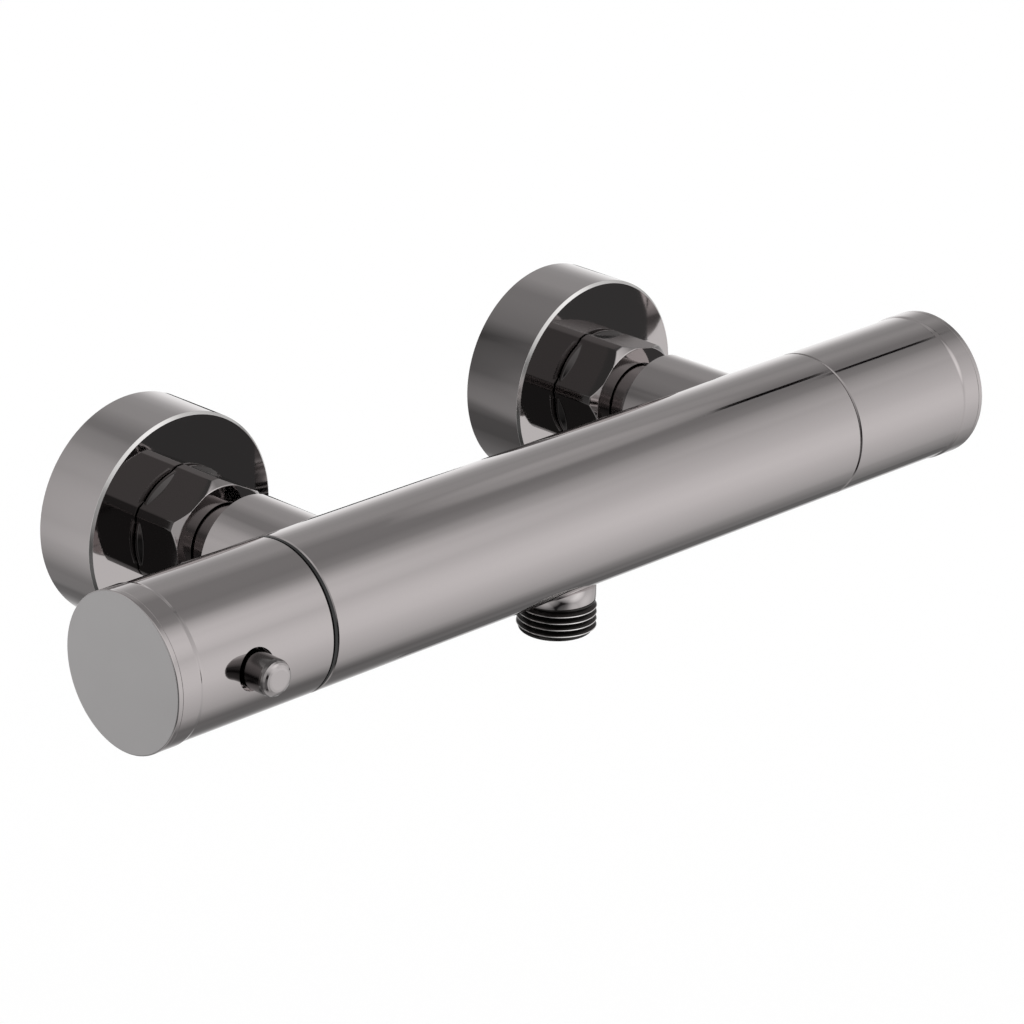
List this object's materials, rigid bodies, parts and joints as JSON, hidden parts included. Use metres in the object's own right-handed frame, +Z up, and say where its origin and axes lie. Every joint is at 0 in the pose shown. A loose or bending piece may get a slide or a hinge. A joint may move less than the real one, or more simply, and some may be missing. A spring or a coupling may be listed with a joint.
{
  "type": "thermostatic shower valve",
  "caption": "Exposed round bar shower valve: temperature handle with safety button, flow handle, eccentric wall unions under deep rosettes and a threaded bottom outlet.",
  "frame": {"origin": "on the wall, midway between the two inlets, at the height of the bar", "axes": "+X along the bar towards the flow handle, +Y into the wall, +Z up"},
  "size_m": [0.29, 0.1213, 0.0612],
  "materials": {
    "plated_body": "polished dark plating on brass",
    "plated_trim": "polished dark plating on brass",
    "plated_dark": "polished dark plating on brass",
    "satin_cap": "satin grey plating",
    "black_plastic": "matte black",
    "white_plastic": "moulded off-white",
    "blue_plastic": "moulded blue",
    "rubber": "black",
    "steel": "stainless",
    "bare_brass": "machined",
    "wax_cup": "bare copper alloy",
    "ceramic": "lapped alumina"
  },
  "bodies": {
    "valve": {"valve_body": "plated_body", "outlet_nipple": "plated_trim", "outlet_o_ring": "rubber", "slip_ring": "black_plastic", "inlet_tail_left": "plated_dark", "inlet_tail_right": "plated_dark", "inlet_washer_left": "rubber", "inlet_washer_right": "rubber", "strainer_left": "steel", "strainer_right": "steel", "check_valve_housing_left": "white_plastic", "check_valve_housing_right": "white_plastic", "check_valve_spring_left": "steel", "check_valve_spring_right": "steel", "eccentric_union_left": "bare_brass", "eccentric_union_right": "bare_brass", "rosette_left": "plated_trim", "rosette_right": "plated_trim", "rosette_gasket_left": "rubber", "rosette_gasket_right": "rubber", "thermostat_housing": "bare_brass", "thermostat_o_rings": "rubber", "cartridge_lock_nut": "bare_brass", "temperature_stop_ring": "white_plastic", "return_spring": "steel", "headwork_body": "bare_brass", "headwork_o_ring": "rubber", "disc_seal": "rubber", "fixed_ceramic_disc": "ceramic", "flow_stop_ring": "white_plastic"},
    "nut_left": {"union_nut_left": "plated_trim"},
    "nut_right": {"union_nut_right": "plated_trim"},
    "poppet_left": {"check_valve_poppet_left": "blue_plastic"},
    "poppet_right": {"check_valve_poppet_right": "blue_plastic"},
    "temperature_control": {"temperature_handle": "plated_body", "temperature_spindle": "bare_brass", "temperature_insert": "white_plastic", "temperature_screw": "steel", "temperature_cap": "satin_cap", "safety_button_spring": "steel"},
    "button": {"safety_button": "plated_trim"},
    "adjuster": {"adjusting_nut": "bare_brass", "overload_spring": "steel", "push_pin": "steel"},
    "regulator": {"wax_element": "wax_cup", "shuttle": "bare_brass"},
    "flow_control": {"flow_handle": "plated_body", "flow_spindle": "bare_brass", "moving_ceramic_disc": "ceramic", "spindle_o_rings": "rubber", "spindle_clip": "steel", "flow_insert": "white_plastic", "flow_screw": "steel", "flow_cap": "satin_cap"}
  },
  "joints": [
    {"name": "temperature_handle_turn", "type": "hinge", "parent": "valve", "child": "temperature_control", "pos_m": [-0.12, -0.08, 0], "axis": [1, 0, 0], "range_deg": [-70, 180]},
    {"name": "safety_button_press", "type": "slide", "parent": "temperature_control", "child": "button", "axis": [0, 1, 0], "range_m": [0, 0.003], "stiffness_N_per_m": 200, "springref_m": -0.002, "deforming": ["safety_button_spring"]},
    {"name": "adjusting_nut_travel", "type": "slide", "parent": "valve", "child": "adjuster", "axis": [1, 0, 0], "range_m": [-0.0009, 0.0022]},
    {"name": "shuttle_travel", "type": "slide", "parent": "valve", "child": "regulator", "axis": [1, 0, 0], "range_m": [-0.0009, 0.0022], "deforming": ["return_spring"]},
    {"name": "flow_handle_turn", "type": "hinge", "parent": "valve", "child": "flow_control", "pos_m": [0.12, -0.08, 0], "axis": [1, 0, 0], "range_deg": [0, 90]},
    {"name": "check_valve_left_open", "type": "slide", "parent": "valve", "child": "poppet_left", "axis": [0, -1, 0], "range_m": [0, 0.003], "stiffness_N_per_m": 30, "springref_m": -0.002, "deforming": ["check_valve_spring_left"]},
    {"name": "check_valve_right_open", "type": "slide", "parent": "valve", "child": "poppet_right", "axis": [0, -1, 0], "range_m": [0, 0.003], "stiffness_N_per_m": 30, "springref_m": -0.002, "deforming": ["check_valve_spring_right"]},
    {"name": "union_nut_left_turn", "type": "hinge", "parent": "valve", "child": "nut_left", "pos_m": [-0.075, -0.028, 0], "axis": [0, 1, 0], "continuous": true},
    {"name": "union_nut_right_turn", "type": "hinge", "parent": "valve", "child": "nut_right", "pos_m": [0.075, -0.028, 0], "axis": [0, 1, 0], "continuous": true}
  ],
  "couplings": [
    {"joint": "adjusting_nut_travel", "follows": "temperature_handle_turn", "m_per_rad": 0.00066845},
    {"joint": "shuttle_travel", "follows": "temperature_handle_turn", "m_per_rad": 0.00066845}
  ]
}
